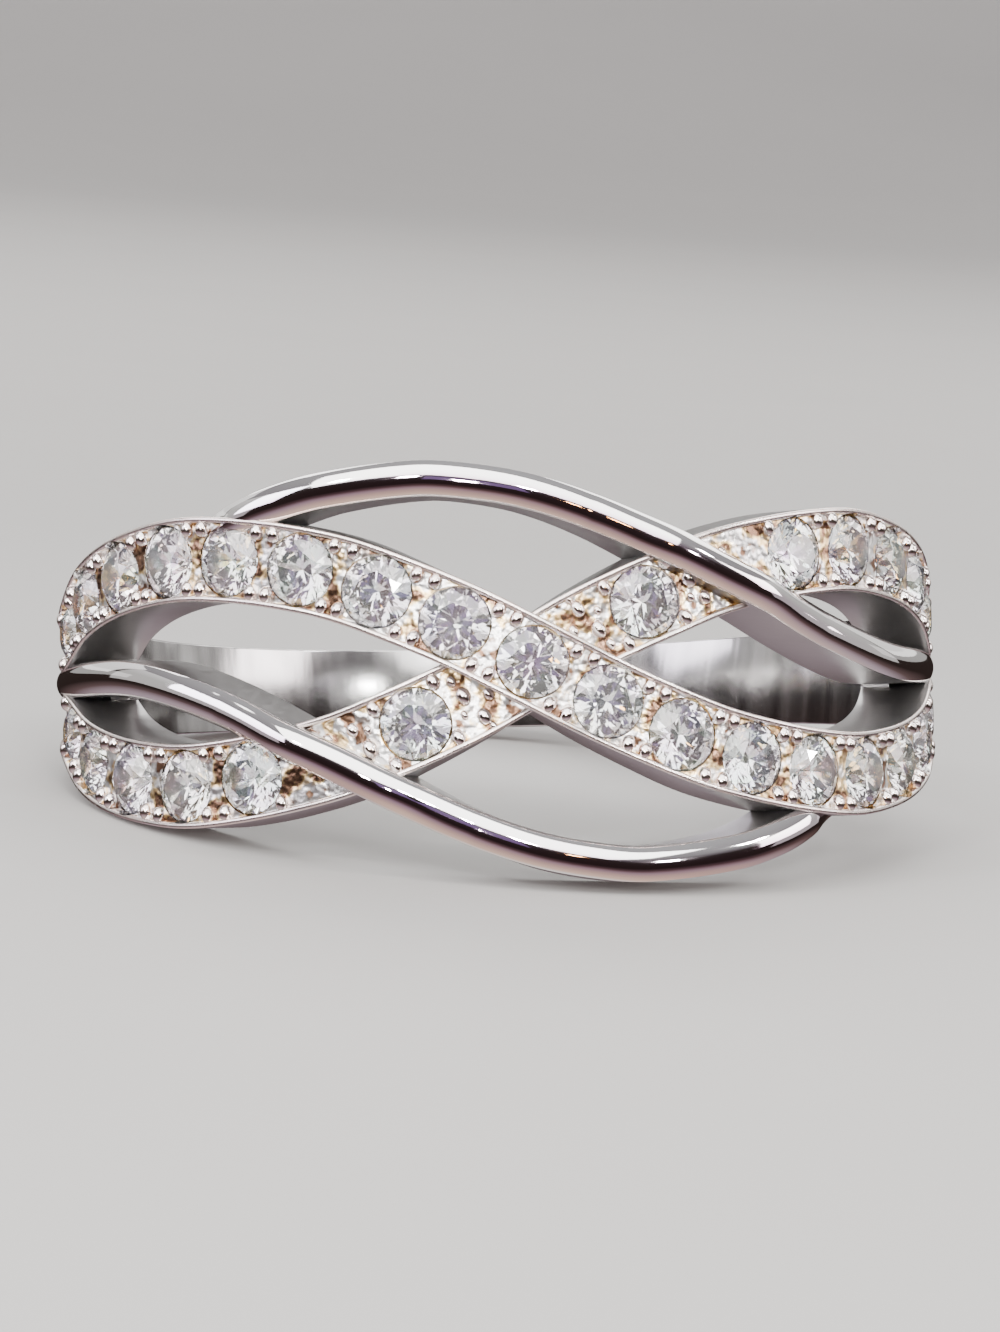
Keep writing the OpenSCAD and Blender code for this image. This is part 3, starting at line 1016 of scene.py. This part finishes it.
class RING_OT_stage(bpy.types.Operator):
    """Set the table, the lights and the camera"""

    bl_idname = "ring.stage"
    bl_label = "Stage"

    def execute(self, context):
        self.table()
        self.world()
        for name, places, shape, power, colour in LIGHTS:
            for place in places:
                self.light(name, place, shape, power, colour)
        self.camera()
        return {"FINISHED"}

    def table(self):
        """Pale table that curves up behind the ring."""
        bm = bmesh.new()
        bmesh.ops.create_grid(bm, x_segments=1, y_segments=1, size=0.5)
        far = [e for e in bm.edges if all(v.co.y > 0.4 for v in e.verts)]
        risen = bmesh.ops.extrude_edge_only(bm, edges=far)["geom"]
        wall = [g for g in risen if isinstance(g, bmesh.types.BMVert)]
        bmesh.ops.translate(bm, vec=(0, 0, 0.6), verts=wall)
        round_off(bm, far, 0.25, 24, "EDGES")
        mesh = bpy.data.meshes.new("table")
        bm.to_mesh(mesh)
        bm.free()
        mesh.shade_smooth()
        mesh.materials.append(material(pale_table))
        table = bpy.data.objects.new("table", mesh)
        bpy.context.scene.collection.objects.link(table)
        table.visible_glossy = False

    def world(self):
        """Room that the polish mirrors: dark at the ring's height, grey above, plum and pale below."""
        world = bpy.data.worlds.new("Studio")
        bpy.context.scene.world = world
        n = Nodes(world)
        way = n.node("TexCoord").outputs["Generated"]
        up = n.value(n.node("SeparateXYZ", {}, {"Vector": way}).outputs["Z"])
        room = n.ramp(0.5 * up + 0.5, *ROOM)
        n.put(n.tree.nodes["Background"].inputs["Color"], room)

    def light(self, name, place, shape, power, colour):
        lamp = bpy.data.lights.new(name, "AREA")
        lamp.shape, lamp.size, lamp.size_y, lamp.energy = "RECTANGLE", *shape, power
        lamp.color = colour
        obj = bpy.data.objects.new(name, lamp)
        obj.location = place
        obj.rotation_euler = (Vector((0, 0, 0.004)) - Vector(place)).to_track_quat("-Z", "Y").to_euler()
        bpy.context.scene.collection.objects.link(obj)

    def camera(self):
        """The photograph's view: a little below the ring's own middle plane and to its left."""
        yaw, rise, roll, away = math.radians(4.62), math.radians(-1.74), math.radians(-1.14), 110
        level = away * math.cos(rise)
        spot = Vector((-math.sin(yaw) * level, -math.cos(yaw) * level, away * math.sin(rise)))
        back = spot.normalized()
        right = Vector((0, 0, 1)).cross(back).normalized()
        up = back.cross(right)
        turn = Matrix.Rotation(roll, 3, back)
        axes = Matrix((turn @ right, turn @ up, back)).transposed().to_4x4()
        lens = bpy.data.cameras.new("Camera")
        lens.sensor_width, lens.lens, lens.clip_start = 36, 125.93, 0.001
        lens.shift_x, lens.shift_y = 0.0043, 0.0085
        obj = bpy.data.objects.new("Camera", lens)
        bpy.context.scene.collection.objects.link(obj)
        seen = resting() @ Matrix.Translation(spot) @ axes
        obj.matrix_world = Matrix.Translation(seen.translation * MM) @ seen.to_3x3().to_4x4()
        bpy.context.scene.camera = obj


class RING_PT_panel(bpy.types.Panel):
    """A button for each group of pieces, and the sizes and colours of the ring"""

    bl_idname = "RING_PT_panel"
    bl_label = "Crossover Ring"
    bl_space_type = "VIEW_3D"
    bl_region_type = "UI"
    bl_category = "Ring"

    def draw(self, context):
        for operator in OPERATORS:
            self.layout.operator(operator.bl_idname)
        for group in (context.scene.ring_sizes, context.scene.ring_look):
            for name in group.__annotations__:
                self.layout.prop(group, name)


OPERATORS = (
    RING_OT_stone_strands,
    RING_OT_plain_strands,
    RING_OT_shank,
    RING_OT_beads,
    RING_OT_stones,
    RING_OT_stage,
)
CLASSES = (RingSizes, RingLook, *OPERATORS, RING_PT_panel)


def register():
    for cls in CLASSES:
        bpy.utils.register_class(cls)
    bpy.types.Scene.ring_sizes = bpy.props.PointerProperty(type=RingSizes)
    bpy.types.Scene.ring_look = bpy.props.PointerProperty(type=RingLook)


def unregister():
    del bpy.types.Scene.ring_look
    del bpy.types.Scene.ring_sizes
    for cls in reversed(CLASSES):
        bpy.utils.unregister_class(cls)


def main():
    register()
    for operator in OPERATORS:
        group, name = operator.bl_idname.split(".")
        getattr(getattr(bpy.ops, group), name)()


if __name__ == "__main__":
    main()
